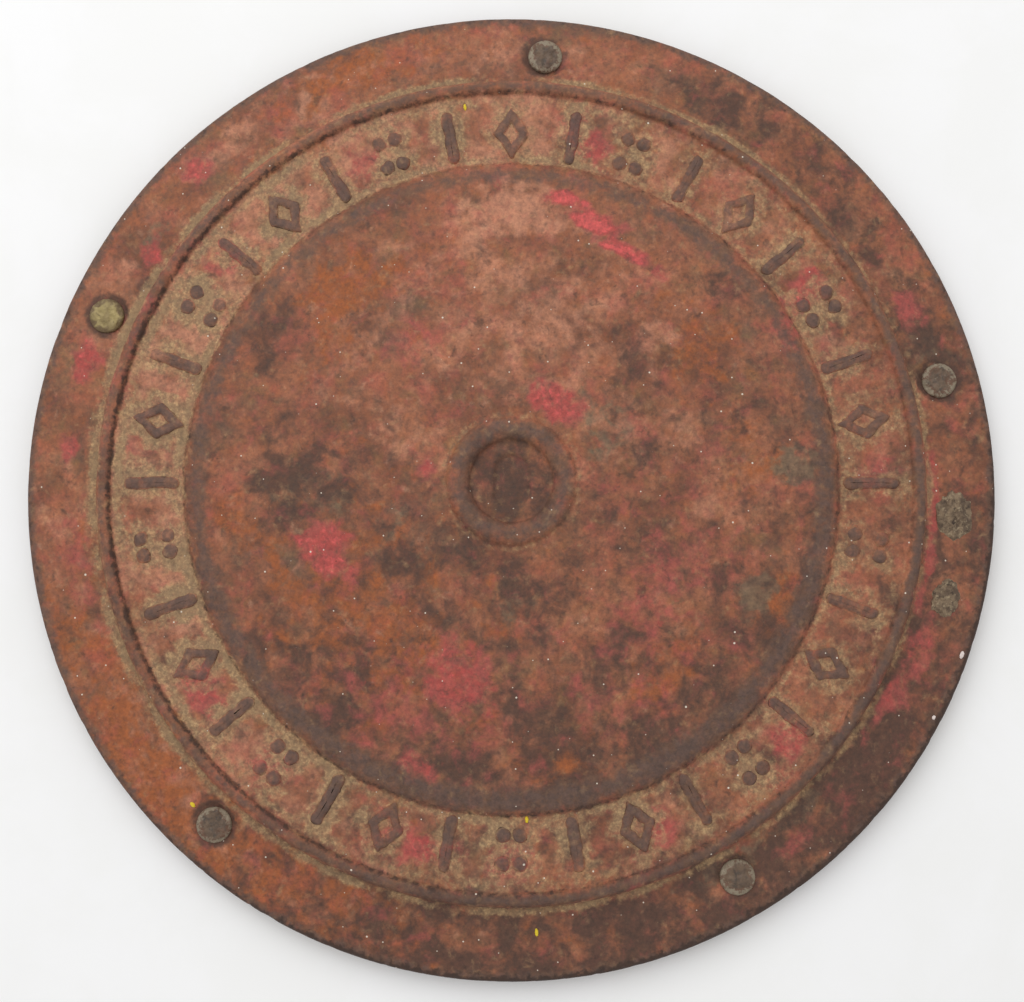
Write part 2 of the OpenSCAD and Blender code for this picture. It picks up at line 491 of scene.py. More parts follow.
# The marks of the band: lozenges, ribs and blocks of four studs, in turn
mark_count = 36
mark_len = 20.3
mark_w = 14.0
rib_w = 4.6
mark_h = 1.5
mark_mid_r = band_in_r + 1.2 + mark_len / 2
stud_r = rib_w * 1.25 / 2
stud_side = (mark_w * 0.85 - 2 * stud_r) / 2
stud_end = (mark_len - 2 * stud_r) / 3
lozenge_bar = rib_w * 0.8


def mark_distance(x, y):
    """How far points are from the nearest mark's outline, below zero inside it."""
    r = np.hypot(x, y)
    turn = np.degrees(np.arctan2(x, y)) % 360
    index = np.round(turn / (360 / mark_count)).astype(int)
    off = np.radians(turn - index * 360 / mark_count)
    u = r * np.sin(off)
    v = r * np.cos(off) - mark_mid_r
    kind = index % 4
    rib = np.hypot(u, np.maximum(abs(v) - (mark_len - rib_w) / 2, 0)) - rib_w / 2
    studs = np.hypot(abs(u) - stud_side, abs(v) - stud_end) - stud_r
    slope = math.hypot(mark_len, mark_w)
    line = (abs(u) * mark_len + abs(v) * mark_w - mark_len * mark_w / 2) / slope
    lozenge = abs(line + lozenge_bar / 2) - lozenge_bar / 2
    return np.select([kind == 0, kind == 2], [lozenge, studs], rib)


# The relief that the turned section lacks: sand-cast unevenness, corrosion, and a fillet at each mark
fillet_w, fillet_h = 1.8, 0.35
uneven = grain(points, 34, 2, 1)
pebble = grain(points, 6, 3, 2)
scab = grain(points, 2.2, 2, 3)
x, y, z = points.T.copy()
rise = np.where(top_side, 0.22 * uneven + 0.12 * pebble + 0.07 * scab, 0.3 * pebble)
to_mark = mark_distance(x, y)
in_band = top_side & (r > band_in_r - 2) & (r < band_out_r + 1)
rise += np.where(in_band, fillet_h * ease(fillet_w, 0, to_mark), 0)

# A flat under each rivet's head, then the oblong dimple in the boss
dimple_half_w, dimple_straight, dimple_deep = 7.0, 3.5, 1.15
for px, py in rivet_places:
    from_rivet = np.hypot(x - px, y - py)
    flat = ease(spot_r + 0.9, spot_r - 0.3, from_rivet + 0.3 * pebble)
    rise = np.where(top_side & (from_rivet < 12), rise * (1 - flat) + (spot_z - z) * flat, rise)
dimple = np.hypot(x, np.maximum(abs(y) - dimple_straight, 0)) + 0.5 * pebble
dimple_fall = dimple_deep * ease(dimple_half_w, dimple_half_w - 1.8, dimple)
rise -= np.where(top_side & (r < boss_in_r), dimple_fall, 0)
on_foot = z < 1
z = np.where(on_foot, z, np.minimum(z + rise, boss_z))

# The bead wavers a little, and rust has nibbled the outer edge
wobble = np.where(top_side, 0.3 * bump(bead_mid_r, 6, r) * grain(points, 12, 2, 4), 0)
nibble = np.where(r > cover_r - 4, -0.35 * np.clip(grain(points, 4, 3, 5) - 0.25, 0, 1.5), 0)
pull = 1 + (wobble + nibble) / np.maximum(r, 1)
points = np.column_stack([x * pull, y * pull, z])

# Where the old paint, rust and earth lie. Each patch: its bearing clockwise from +Y in degrees, its
# radius, its size round the cover and along the radius in millimetres, and its strength.
PATCHES = {
    "red": [
        (12, 106, 18, 6, 1.8),
        (19, 100, 24, 6, 1.9),
        (27, 94, 22, 5, 1.8),
        (28, 32, 20, 13, 1.3),
        (251, 71, 26, 16, 1.3),
        (194, 73, 34, 22, 1.0),
        (197, 107, 18, 12, 0.9),
        (329, 63, 26, 16, 0.5),
        (124, 65, 44, 26, 0.5),
        (150, 84, 44, 30, 0.35),
        (61, 114, 18, 10, 1.0),
        (279, 31, 6, 6, 1.0),
        (286, 163, 16, 10, 1.2),
        (303, 159, 12, 8, 1.1),
        (315, 166, 12, 9, 1.1),
        (275, 162, 9, 10, 1.0),
        (260, 160, 30, 14, 0.5),
        (113, 159, 38, 10, 0.7),
        (95, 154, 70, 5, 0.9),
        (120, 156, 30, 6, 0.9),
        (66, 160, 16, 10, 0.9),
        (142, 164, 20, 6, 0.45),
        (105, 60, 60, 50, 0.25),
        (200, 85, 60, 40, 0.45),
        (290, 150, 60, 10, 0.5),
        (12, 130, 16, 20, 1.2),
        (57, 129, 14, 18, 1.0),
        (236, 133, 22, 14, 1.0),
        (194, 134, 24, 14, 1.1),
        (180, 135, 16, 12, 0.9),
        (133, 134, 16, 14, 1.0),
        (309, 134, 16, 14, 0.9),
        (335, 132, 12, 16, 0.8),
        (88, 133, 12, 16, 0.6),
        (156, 134, 10, 14, 0.9),
        (276, 132, 10, 14, 0.5),
        (220, 132, 12, 14, 0.7),
    ],
    "dark": [
        (129, 163, 40, 26, 1.4),
        (150, 165, 70, 18, 0.9),
        (175, 163, 90, 26, 0.75),
        (203, 165, 50, 22, 0.4),
        (48, 163, 70, 24, 0.5),
        (30, 164, 50, 20, 0.7),
        (180, 75, 120, 70, 0.45),
        (265, 70, 70, 60, 0.4),
        (67, 162, 34, 24, 0.8),
        (95, 172, 60, 10, 0.7),
        (268, 76, 32, 38, 0.9),
        (235, 48, 24, 20, 0.7),
        (175, 46, 24, 20, 0.6),
        (168, 91, 34, 24, 0.8),
        (188, 104, 26, 16, 0.9),
        (115, 84, 26, 20, 0.5),
        (136, 104, 60, 22, 0.8),
        (221, 98, 44, 24, 0.8),
        (54, 58, 26, 18, 0.6),
        (300, 100, 30, 22, 0.5),
        (45, 104, 40, 14, 0.5),
    ],
    "pale": [
        (1, 98, 44, 20, 1.1),
        (347, 82, 40, 24, 0.6),
        (0, 62, 120, 80, 0.5),
        (228, 163, 110, 24, 0.6),
        (330, 162, 90, 24, 0.6),
        (0, 165, 60, 20, 0.5),
        (300, 162, 60, 22, 0.4),
        (265, 165, 60, 22, 0.4),
        (36, 75, 40, 22, 0.5),
        (95, 75, 40, 24, 0.4),
    ],
    "orange": [
        (320, 91, 44, 26, 0.8),
        (228, 163, 120, 26, 0.9),
        (225, 75, 80, 60, 0.7),
        (340, 165, 60, 18, 0.7),
        (170, 103, 26, 14, 0.9),
        (117, 104, 34, 18, 0.9),
        (52, 86, 34, 24, 0.6),
        (86, 88, 26, 24, 0.5),
        (210, 163, 70, 20, 0.6),
        (263, 98, 22, 20, 0.7),
        (140, 88, 30, 20, 0.7),
        (222, 165, 50, 14, 0.5),
    ],
    "grey": [
        (87, 102, 14, 16, 1.4),
        (115, 97, 18, 14, 1.4),
        (60, 40, 26, 20, 0.7),
        (268, 72, 26, 26, 0.8),
        (305, 161, 12, 8, 0.9),
        (152, 156, 40, 10, 0.9),
        (138, 156, 22, 8, 1.1),
        (72, 160, 20, 22, 0.6),
        (176, 44, 20, 12, 0.7),
        (245, 40, 30, 20, 0.5),
    ],
}


def patchiness(kind, points, ragged):
    """How much of a kind of patch lies at each point."""
    x, y = points[:, 0], points[:, 1]
    found = np.zeros(len(points))
    for turn, away, round_size, out_size, strength in PATCHES[kind]:
        sine, cosine = math.sin(math.radians(turn)), math.cos(math.radians(turn))
        out = x * sine + y * cosine
        along = x * cosine - y * sine
        curved = np.hypot(out, along) - away
        off = np.hypot(along / round_size * 2, curved / out_size * 2) + ragged
        found = np.maximum(found, strength * ease(1.5, 0.5, off) * (out > 0))
    return found


def paint_numbers(points, above, to_mark, top_side):
    """The numbers that drive the paint's layers, with its painted light and shading, at each point of
    a piece.
    """
    r = np.hypot(points[:, 0], points[:, 1])
    bearing = np.arctan2(points[:, 0], points[:, 1])
    ragged = 0.6 * grain(points, 7, 4, 6)
    patchy = grain(points, 18, 2, 7)
    clumps = grain(points, 6, 3, 9)
    # Weights by bearing: low_side peaks at 165 degrees and rim_shade at 150 degrees, the sides away
    # from the window, and they set the painted shade below; left_side peaks on the left
    low_side = 0.5 - 0.5 * np.cos(bearing + math.radians(15))
    left_side = 0.5 - 0.5 * np.sin(bearing)
    rim_shade = ease(0.45, 1.0, 0.5 - 0.5 * np.cos(bearing + math.radians(30)))
    numbers = {kind: patchiness(kind, points, ragged) for kind in PATCHES}

    # Earth lies along the bead's outer foot, both edges of the band, the boss, and round each mark
    in_band = ease(band_in_r - 1, band_in_r + 1, r) * ease(band_out_r + 1, band_out_r - 1, r)
    on_rim = ease(bead_out_r, bead_out_r + 4, r)
    shifted = r + 0.9 * clumps
    inner_w = 2.6 + 2.0 * left_side
    outer_w = 2.8 + 2.2 * left_side**4
    dirt = (0.75 + 0.4 * left_side) * bump(bead_out_r + 1 + 0.5 * left_side, outer_w, shifted)
    dirt = np.maximum(dirt, (0.7 + 0.5 * left_side) * bump(band_in_r + 1.6, inner_w, shifted))
    dirt = np.maximum(dirt, (0.4 + 0.6 * left_side) * bump(band_out_r - 2.5, 4.5, shifted))
    dirt = np.maximum(dirt, 0.45 * bump(boss_r + 0.8, 2.6, shifted))
    near_mark = in_band * ease(8.0, 0.5, to_mark + 3.5 * clumps)
    dirt = np.maximum(dirt, (0.75 + 0.25 * left_side) * near_mark)
    dirt = dirt * np.clip(0.9 + 0.8 * patchy, 0.3, 1.25)
    numbers["dirt"] = np.where(above > 0.01, 0.9 * ease(1.15, 0.2, above + 0.5 * clumps), dirt)

    # Paint has worn off whatever stands proud: shoulder, bead, boss, outer edge and the marks' tops
    # On the shoulder the worn band grows wider and stronger towards the lower side: that extra is
    # painted shade where the rounded shoulder faces away from the light
    shoulder = (0.75 + 0.35 * low_side) * bump(panel_r + 6.5, 5.5 + 3.5 * low_side, r)
    bead_bare = 0.95 - 0.35 * left_side
    proud = np.maximum(bead_bare * bump(bead_mid_r, 3.4, r + 0.5 * clumps), shoulder)
    proud = np.maximum(proud, 0.9 * bump(boss_r - boss_ring_w / 2, 6.0, r))
    proud = np.maximum(proud, 0.95 * ease(cover_r - 5.5, cover_r - 1.5, r + 0.8 * clumps))
    numbers["proud"] = np.maximum(proud, (1.0 + 0.4 * patchy) * ease(0.3, 1.3, above))

    # Darker places: the boss and its dimple; painted shade in the groove at the bead's inner foot, at
    # the shoulder's foot and along the rounded outer edge; and painted shade with collected rust round
    # the marks' flanks
    boss_dark = 0.65 * ease(boss_r + 1, boss_in_r + 2, r)
    centre = np.hypot(points[:, 0] / 8.5, points[:, 1] / 11.5) + 0.15 * clumps
    boss_dark = np.maximum(boss_dark, ease(1.1, 0.75, centre))
    # Painted shade in the groove at the bead's inner foot, stronger on the left, where it faces away
    # from the window
    crease_shade_and_rust = (0.4 + 0.65 * left_side) * bump(band_out_r + 0.7, 2.0, r)
    # Painted shade with collected rust on the marks' flanks
    crease_shade_and_rust = np.maximum(crease_shade_and_rust, (0.75 + 0.8 * patchy) * bump(0.55, 0.6, above))
    # Painted shade at the shoulder's foot, stronger on the lower side
    crease_shade_and_rust = np.maximum(crease_shade_and_rust, (0.5 + 0.25 * low_side) * bump(band_in_r - 0.5, 1.5, r))
    # Painted shade along the rounded outer edge, heaviest on the lower right
    edge_dark = (0.35 + 0.5 * rim_shade) * ease(cover_r - 5, cover_r - 2, r)
    edge_dark += (0.25 + 0.4 * rim_shade) * ease(cover_r - 2.6, cover_r - 0.6, r)
    numbers["crease_shade_and_rust"] = np.maximum(crease_shade_and_rust, edge_dark)

    # The band is paler towards its upper left: partly painted light from the window on that side,
    # partly the paint's own tone. The lower side is darker: painted shade, and on the rim also rust
    # where less paint is left. Its left rim is more orange.
    upper_left = 0.5 + 0.5 * np.cos(bearing + math.radians(60))
    numbers["pale"] = np.maximum(numbers["pale"], (0.12 + 0.68 * upper_left) * in_band)
    # Painted shade: the band and panel darken towards the lower side, away from the window; the rim
    # darkens on its lower right, partly painted shade and partly rust where less paint is left
    painted_shade_and_rust = (0.55 - 0.2 * in_band) * low_side * (1 - on_rim) + 0.8 * rim_shade * on_rim
    # Painted shade on the shoulder's lower side, which faces away from the light
    painted_shade_and_rust = np.maximum(painted_shade_and_rust, 0.95 * low_side * bump(panel_r + 5, 11, r))
    # Painted shade on the bead's lower right
    painted_shade_and_rust = np.maximum(painted_shade_and_rust, 1.1 * rim_shade * bump(bead_mid_r, 4, r))
    # The boss and its dimple darker
    painted_shade_and_rust = np.maximum(painted_shade_and_rust, boss_dark)
    # Rust on the marks' worn tops
    painted_shade_and_rust = np.maximum(painted_shade_and_rust, (0.3 + 0.5 * patchy) * ease(0.4, 1.2, above))
    numbers["dark"] = np.maximum(numbers["dark"], painted_shade_and_rust)
    low_left = bump(math.radians(222), math.radians(60), bearing % (2 * math.pi))
    numbers["orange"] = np.maximum(numbers["orange"], 0.9 * low_left * on_rim)
    numbers["under"] = np.where(top_side, 0.0, 1.0)

    # A dark ring of rust round each rivet
    for px, py in rivet_places:
        halo = ease(spot_r + 3, spot_r - 1, np.hypot(points[:, 0] - px, points[:, 1] - py))
        numbers["dark"] = np.maximum(numbers["dark"], halo + 0.3 * halo * ragged)
    return numbers


paint = painted_iron()
above = np.zeros(len(points))
casting_numbers = paint_numbers(points, above, to_mark, top_side)
casting = make_piece("cover_casting", points, faces, ["cover_plate"], casting_numbers)
casting.data.materials.append(paint)

# ---------------------------------------------------------------- raised marks
# Cast in one with the band: nine lozenge frames, eighteen ribs and nine blocks of four studs. Their
# edges are rounded by the mould and by wear, and their feet run down into the band.


def bar_section(width, steps):
    """Half-widths and heights of a raised bar's section, from near its middle to its foot."""
    turns = np.linspace(math.pi / 2, 0, steps)
    half = width / 2
    edge = half * 0.8
    rounded = np.column_stack([half - edge * (1 - np.cos(turns)), mark_h * np.sin(turns)])
    middle = [[half * 0.07, mark_h * 1.03], [half * 0.13, mark_h * 1.02]]
    return np.vstack([middle, rounded, [[half + 0.35, -0.1], [half + 0.4, -0.9]]])


def bar_ring(half, straight, level, along, around):
    """A ring of points round a shape with straight sides along Y and round ends."""
    down = np.linspace(1, -1, along, endpoint=False)
    turns = np.linspace(0, math.pi, around, endpoint=False)
    side = np.column_stack([np.full(along, half), down * straight])
    end = np.column_stack([half * np.cos(turns), -straight - half * np.sin(turns)])
    half_way = np.vstack([side, end])
    flat = np.vstack([half_way, -half_way])
    return np.column_stack([flat, np.full(len(flat), level)])


def bar(length, width, along, around):
    """A raised bar with round ends along Y, or a round stud where it is as long as wide."""
    straight = (length - width) / 2
    rings = [bar_ring(half, straight, up, along, around) for half, up in bar_section(width, 6)]
    rings.insert(0, np.array([[0, 0, mark_h * 1.03]]))
    rings.append(np.array([[0, 0, -0.9]]))
    return skin(rings)


def lozenge(length, width, across, per_side):
    """A raised lozenge frame, its long axis along Y, its corners a little rounded."""
    corners = np.array([[0, length / 2], [width / 2, 0], [0, -length / 2], [-width / 2, 0]])
    inset = 1 - across * math.hypot(length, width) / (length * width)
    middle = corners * inset
    spread = (corners - middle) / (across / 2)
    one_side = bar_section(across, 5)
    section = np.vstack([one_side[::-1], one_side * [-1, 1]])
    rings = []
    for k in range(4 * per_side):
        side, part = divmod(k / per_side, 1)
        here, there = int(side), (int(side) + 1) % 4
        centre = middle[here] * (1 - part) + middle[there] * part
        reach = spread[here] * (1 - part) + spread[there] * part
        flat = centre + section[:, :1] * reach
        rings.append(np.column_stack([flat, section[:, 1]]))
    rings = np.array(rings)
    for _ in range(3):
        rings = (np.roll(rings, 1, axis=0) + rings + np.roll(rings, -1, axis=0)) / 3
    return skin(list(rings), closed=True)


def place_mark(local, index):
    """A mark's points moved to its bearing on the band."""
    turn = math.radians(index * 360 / mark_count)
    x = local[:, 0]
    y = local[:, 1] + mark_mid_r
    across = x * math.cos(turn) + y * math.sin(turn)
    up = -x * math.sin(turn) + y * math.cos(turn)
    return np.column_stack([across, up, local[:, 2] + band_z])


def joined(parts):
    """Several point sets and their faces as one."""
    starts = np.r_[0, np.cumsum([len(points) for points, _ in parts])]
    faces = [
        tuple(corner + int(start) for corner in face)
        for start, (_, part_faces) in zip(starts, parts)
        for face in part_faces
    ]
    return np.vstack([points for points, _ in parts]), faces


mark_parts = []
for index in range(mark_count):
    if index % 4 == 0:
        local, part_faces = lozenge(mark_len, mark_w, lozenge_bar, 26)
        mark_parts.append((place_mark(local, index), part_faces))
    elif index % 4 == 2:
        stud, part_faces = bar(2 * stud_r, 2 * stud_r, 0, 16)
        for side in (-1, 1):
            for end in (-1, 1):
                local = stud + [side * stud_side, end * stud_end, 0]
                mark_parts.append((place_mark(local, index), part_faces))
    else:
        local, part_faces = bar(mark_len, rib_w, 24, 12)
        mark_parts.append((place_mark(local, index), part_faces))
mark_points, mark_faces = joined(mark_parts)
above = mark_points[:, 2] - band_z
worn = 0.75 + 0.25 * grain(mark_points, 25, 1, 10)
mark_points[:, 2] = band_z + np.where(above > 0, above * worn, above)
mark_points[:, 0] += 0.5 * grain(mark_points, 4, 2, 11)
mark_points[:, 1] += 0.5 * grain(mark_points, 4, 2, 12)
mark_points[:, 2] += 0.22 * grain(mark_points, 34, 2, 1) + 0.22 * grain(mark_points, 2.5, 3, 8)
at_foot = np.full(len(mark_points), 0.3)
top_side = np.full(len(mark_points), True)
mark_numbers = paint_numbers(mark_points, np.maximum(above, 0.02), at_foot, top_side)
marks = make_piece("raised_marks", mark_points, mark_faces, ["cover_plate"], mark_numbers)
marks.data.materials.append(paint)

# ---------------------------------------------------------------- ribs and pad
# Five stiffening ribs and the pad where they meet, cast in one with the dome's underside. They were
# left as they came from the sand, and never painted.

rib_low_z = under_z + 0.3
pad_low_z = rib_low_z - 0.5
into_wall_z = panel_z + dome_h - wall_t + 1
under_rib_w = 7.0
under_rib_in, under_rib_out = 10, 116
first_rib_turn = 41
pad_r = 26.0


def outline_loop(corners, rounding, pace):
    """A closed outline's points, its corners rounded to about a radius."""
    once = np.array(corners + corners[:1], dtype=float)
    smooth = soften(np.vstack([once, once[1:], once[1:]]), rounding)
    lap = len(smooth) // 3
    return smooth[lap : 2 * lap : int(pace / FINE_STEP)]


def turned(line, rounding, pace, count, place=(0, 0)):
    """A solid turned about an upright axis, from a line that starts and ends on the axis."""
    smooth = soften(np.array(line, dtype=float), rounding)
    outline = stations(smooth, np.full(len(smooth), pace))
    last = len(outline) - 1
    rings = [level_ring(*outline[k], 1 if k in (0, last) else count) for k in range(last + 1)]
    points, faces = skin(rings)
    return points + [place[0], place[1], 0], faces


half = under_rib_w / 2
rib_corners = [[-half, rib_low_z], [half, rib_low_z], [half + 0.6, into_wall_z]]
rib_corners.append([-half - 0.6, into_wall_z])
rib_section = outline_loop(rib_corners, 0.4, 1.0)
rib_parts = []
for k in range(5):
    turn = math.radians(first_rib_turn + k * 360 / 5)
    rib_rings = []
    for out in np.arange(under_rib_in, under_rib_out, 1.5):
        x = out * math.sin(turn) + rib_section[:, 0] * math.cos(turn)
        y = out * math.cos(turn) - rib_section[:, 0] * math.sin(turn)
        rib_rings.append(np.column_stack([x, y, rib_section[:, 1]]))
    rib_rings.insert(0, rib_rings[0].mean(axis=0, keepdims=True))
    rib_rings.append(rib_rings[-1].mean(axis=0, keepdims=True))
    rib_parts.append(skin(rib_rings))
pad_line = [[0, into_wall_z], [pad_r + 1, into_wall_z], [pad_r, pad_low_z], [0, pad_low_z]]
rib_parts.append(turned(pad_line, 0.5, 1.5, 120))
rib_points, rib_faces = joined(rib_parts)
low = rib_points[:, 2] < into_wall_z - 2
rib_points[:, 2] += np.where(low, 0.25 * grain(rib_points, 5, 3, 13), 0)
rib_points[:, 0] += 0.2 * grain(rib_points, 6, 2, 14)
rib_points[:, 1] += 0.2 * grain(rib_points, 6, 2, 15)
no_paint = {"under": np.ones(len(rib_points))}
ribs = make_piece("ribs_and_pad", rib_points, rib_faces, ["cover_plate"], no_paint)
ribs.data.materials.append(paint)

# ---------------------------------------------------------------- packing ring
# A flat washer of oiled leather that lies inside the lip and seals the cover to its neck. The rivets
# and their burrs clamp it, so it is pressed in at each burr, and its cut edges have frayed.

burr_low, burr_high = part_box("burr_1")
burr_r = (burr_high.x - burr_low.x) / 2 / MM
packing_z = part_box("packing_ring")[0].z / MM


LEATHER_COATS = [
    ("#4d3827", None, 14.0, 0.35, 0.65, 1.0),
    ("#5e4a37", None, 3.0, 0.55, 0.70, 1.0),
    ("#6f5b45", None, 1.2, 0.60, 0.76, 0.5),
]


def oiled_leather():
    """Oiled leather: close wrinkles and pores, dark with grease, paler where it is rubbed."""
    material, tree, place = start_material("oiled_leather")
    colour = lay_coats(tree, place, linear("#2c2019"), LEATHER_COATS)

    # Wrinkles, 1.4 mm apart, hold black grease
    pores = add_node(
        tree,
        "ShaderNodeTexVoronoi",
        {"feature": "DISTANCE_TO_EDGE"},
        {"Vector": place, "Scale": 1 / (1.4 * MM)},
    ).outputs["Distance"]
    risen = add_node(
        tree,
        "ShaderNodeMapRange",
        {"interpolation_type": "SMOOTHSTEP"},
        {"Value": pores, "From Max": 0.25},
    ).outputs["Result"]
    colour = add_node(
        tree, "ShaderNodeMix", {"data_type": "RGBA"}, {0: risen, 6: linear("#1f1712"), 7: colour}
    ).outputs[2]
    relief = add_node(
        tree,
        "ShaderNodeBump",
        None,
        {
            "Height": risen,
            "Distance": 0.2 * MM,
            "Normal": raise_grains(tree, place, [(14.0, 0.5), (3.0, 0.15)]),
        },
    )
    roughness = add_node(
        tree, "ShaderNodeMapRange", None, {"Value": risen, "To Min": 0.5, "To Max": 0.72}
    ).outputs["Result"]
    shader = add_node(
        tree,
        "ShaderNodeBsdfPrincipled",
        None,
        {"Base Color": colour, "Roughness": roughness, "Normal": relief.outputs["Normal"]},
    )
    add_node(tree, "ShaderNodeOutputMaterial", None, {"Surface": shader.outputs["BSDF"]})
    return material


def turned_ring(corners, rounding, pace, count, place=(0, 0)):
    """A ring turned about an upright axis, from the closed outline of its section."""
    loop = outline_loop(corners, rounding, pace)
    points, faces = skin([level_ring(*corner, count) for corner in loop], closed=True)
    return points + [place[0], place[1], 0], faces


leather_corners = [[packing_in_r, packing_z], [packing_out_r, packing_z]]
leather_corners += [[packing_out_r, lip_deep], [packing_in_r, lip_deep]]
leather_points, leather_faces = turned_ring(leather_corners, 0.35, 0.9, 540)
edge_wear = 0.35 * grain(leather_points, 5, 3, 16)
away = np.hypot(leather_points[:, 0], leather_points[:, 1])
fray = np.clip(abs(away - (packing_in_r + packing_out_r) / 2) - 9, 0, 1) * (edge_wear - 0.3)
leather_points[:, :2] *= (1 + np.sign(away - packing_in_r - 10) * fray / away)[:, None]
pressed = np.zeros(len(leather_points))
for px, py in rivet_places:
    from_burr = np.hypot(leather_points[:, 0] - px, leather_points[:, 1] - py)
    pressed = np.maximum(pressed, ease(burr_r + 4, burr_r - 1, from_burr))
lower = leather_points[:, 2] < packing_z + 1.5
swell = 0.35 * (1 - pressed) * (0.4 + 0.3 * grain(leather_points, 22, 2, 17))
leather_points[:, 2] -= np.where(lower, np.clip(swell, 0, 0.6), 0)
packing = make_piece("leather_packing", leather_points, leather_faces, ["packing_ring"])
packing.data.materials.append(oiled_leather())

# ---------------------------------------------------------------- rivets
# Five rivets hold the packing ring: four of soft iron and one brass one, a later replacement. Each
# head is low and was battered round by hand, and its tail is hammered over a burr underneath.

shank_r = 3.4
tail_r = 4.3
tail_z = rivet_low.z / MM
head_z = rivet_high.z / MM
burr_z = burr_low.z / MM


def battered_metal(name, tarnish, coats, metallic):
    """A soft metal beaten by hand, tarnished all over, with rust and earth set in its dents."""
    material, tree, place = start_material(name)
    colour = lay_coats(tree, place, linear(tarnish), coats)
    worn = add_node(
        tree,
        "ShaderNodeTexNoise",
        {"noise_dimensions": "4D"},
        {"Vector": place, "W": 3.1, "Scale": 1 / (1.8 * MM), "Detail": 3.0},
    ).outputs["Fac"]
    roughness = add_node(
        tree,
        "ShaderNodeMapRange",
        None,
        {"Value": worn, "From Min": 0.35, "From Max": 0.65, "To Min": 0.5, "To Max": 0.8},
    ).outputs["Result"]
    normal = raise_grains(tree, place, [(4.0, 0.8), (1.8, 0.5), (0.7, 0.12)])
    shader = add_node(
        tree,
        "ShaderNodeBsdfPrincipled",
        None,
        {"Base Color": colour, "Roughness": roughness, "Metallic": metallic, "Normal": normal},
    )
    add_node(tree, "ShaderNodeOutputMaterial", None, {"Surface": shader.outputs["BSDF"]})
    return material


# Rusty soft iron is dull and brown, shines little, and wears the same rust and earth as the rim
SOFT_IRON_COATS = [
    ("#6f5b49", None, 5.0, 0.38, 0.62, 0.9),
    ("#3d3733", None, 3.0, 0.46, 0.64, 0.75),
    ("#694a39", "rusty", 3.0, 0.52, 0.78, 0.85),
    ("#938a76", "rusty", 1.0, 0.62, 0.84, 0.7),
    ("#8d7a60", None, 1.2, 0.60, 0.80, 0.5),
    ("#2f2823", None, 0.8, 0.58, 0.72, 0.8),
]
rivet_iron = battered_metal("rusty_battered_iron", "#59483b", SOFT_IRON_COATS, 0.2)
# Tarnished brass keeps a dull yellow shine on its high places
BRASS_COATS = [
    ("#a39263", None, 5.0, 0.38, 0.62, 0.9),
    ("#635639", None, 2.2, 0.52, 0.70, 0.8),
    ("#6d5a42", "rusty", 3.0, 0.58, 0.84, 0.9),
    ("#b0a077", None, 1.2, 0.60, 0.80, 0.5),
    ("#3b3226", None, 0.8, 0.62, 0.74, 0.7),
]
rivet_brass = battered_metal("tarnished_battered_brass", "#8c7b55", BRASS_COATS, 0.4)
rivet_line = [[0, head_z], [head_r - 1.6, head_z - 0.1], [head_r - 0.3, head_z - 0.6]]
rivet_line += [[head_r, spot_z + 0.5], [head_r - 0.2, spot_z - 0.3], [shank_r, spot_z - 0.3]]
rivet_line += [[shank_r, burr_z], [tail_r, burr_z], [tail_r - 0.6, tail_z + 0.2], [0, tail_z]]
burr_corners = [[shank_r + 0.2, burr_z], [burr_r, burr_z], [burr_r, burr_high.z / MM]]
burr_corners.append([shank_r + 0.2, burr_high.z / MM])
for index, place in enumerate(rivet_places, start=1):
    brass = index == 5
    points, faces = turned(rivet_line, 0.3, 0.45, 72, place)
    ragged = grain(points, 3.5, 3, 20 + index)
    upper = ease(spot_z, head_z, points[:, 2])
    out = np.hypot(points[:, 0] - place[0], points[:, 1] - place[1])
    lowered = upper * np.clip(0.3 + 0.45 * ragged, 0, 1.1)
    points[:, 2] -= lowered
    squeeze = 1 - 0.14 * np.clip(0.3 + ragged, 0, 1.5) * upper
    points[:, 0] = place[0] + (points[:, 0] - place[0]) * squeeze
    points[:, 1] = place[1] + (points[:, 1] - place[1]) * squeeze
    rusty = {"rusty": np.clip(ease(head_r - 3.2, head_r - 0.4, out) + 0.5 * ragged, 0, 1.3)}
    rivet = make_piece(f"rivet_head_{index}", points, faces, [f"rivet_{index}"], rusty)
    rivet.data.materials.append(rivet_brass if brass else rivet_iron)
    points, faces = turned_ring(burr_corners, 0.2, 0.3, 60, place)
    points[:, 2] += 0.08 * grain(points, 3, 2, 30 + index)
    burr = make_piece(f"burr_washer_{index}", points, faces, [f"burr_{index}"])
    burr.data.materials.append(rivet_brass if brass else rivet_iron)

# ---------------------------------------------------------------- dried dirt
# Two crusts of earth and rust that have set hard on the rim, right of the middle. They are about 2 mm
# high, ragged round the foot and gritty on top.


EARTH_COATS = [
    ("#86725b", None, 4.0, 0.36, 0.64, 1.0),
    ("#9c8a70", None, 1.6, 0.52, 0.66, 0.9),
    ("#3a2f27", None, 2.0, 0.54, 0.66, 0.9),
    ("#493c32", None, 0.8, 0.58, 0.74, 0.9),
]


def set_earth():
    """Earth and rust set hard: dull, gritty, crossed by fine ridges."""
    material, tree, place = start_material("set_earth_and_rust")
    colour = lay_coats(tree, place, linear("#57473a"), EARTH_COATS)
    normal = raise_grains(tree, place, [(1.6, 1.2), (0.6, 0.25)])
    shader = add_node(
        tree,
        "ShaderNodeBsdfPrincipled",
        None,
        {"Base Color": colour, "Roughness": 0.95, "Normal": normal},
    )
    add_node(tree, "ShaderNodeOutputMaterial", None, {"Surface": shader.outputs["BSDF"]})
    return material


